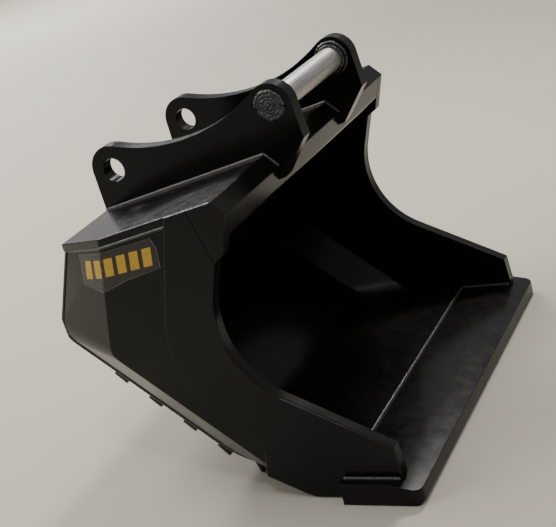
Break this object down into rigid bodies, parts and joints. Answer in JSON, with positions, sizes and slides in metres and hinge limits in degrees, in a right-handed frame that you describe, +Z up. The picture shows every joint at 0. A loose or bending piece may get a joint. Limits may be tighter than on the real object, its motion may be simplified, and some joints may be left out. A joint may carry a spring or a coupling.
{
  "type": "excavator bucket",
  "caption": "Black excavator bucket with a straight cutting edge, doubled sides, tapered rear corners, wear bars under the heel, and hanger ears with a fixed front pin and an open rear bore.",
  "frame": {"origin": "on the ground at the middle of the outline in X and Y, with the underside of the cutting edge flat on the ground", "axes": "+X across the bucket along the pins, from its left side to its right side seen from the front; the mouth faces -Y; +Z up"},
  "size_m": [1.042, 0.8792, 0.9012],
  "materials": {
    "black_paint": "gloss",
    "bare_steel": "satin"
  },
  "bodies": {
    "root": {"shell": "black_paint", "top_plate": "black_paint", "front_lip": "black_paint", "lip_beam": "black_paint", "side_plate_left": "black_paint", "side_plate_right": "black_paint", "corner_plate_left": "black_paint", "corner_plate_right": "black_paint", "side_doubler_left": "black_paint", "side_doubler_right": "black_paint", "cutting_edge": "black_paint", "ear_left": "black_paint", "ear_right": "black_paint", "front_pin": "bare_steel", "pin_collar_left": "black_paint", "pin_collar_right": "black_paint", "wear_bar_1": "black_paint", "wear_bar_2": "black_paint", "wear_bar_3": "black_paint", "wear_bar_4": "black_paint", "wear_bar_5": "black_paint", "wear_bar_6": "black_paint"}
  },
  "joints": []
}
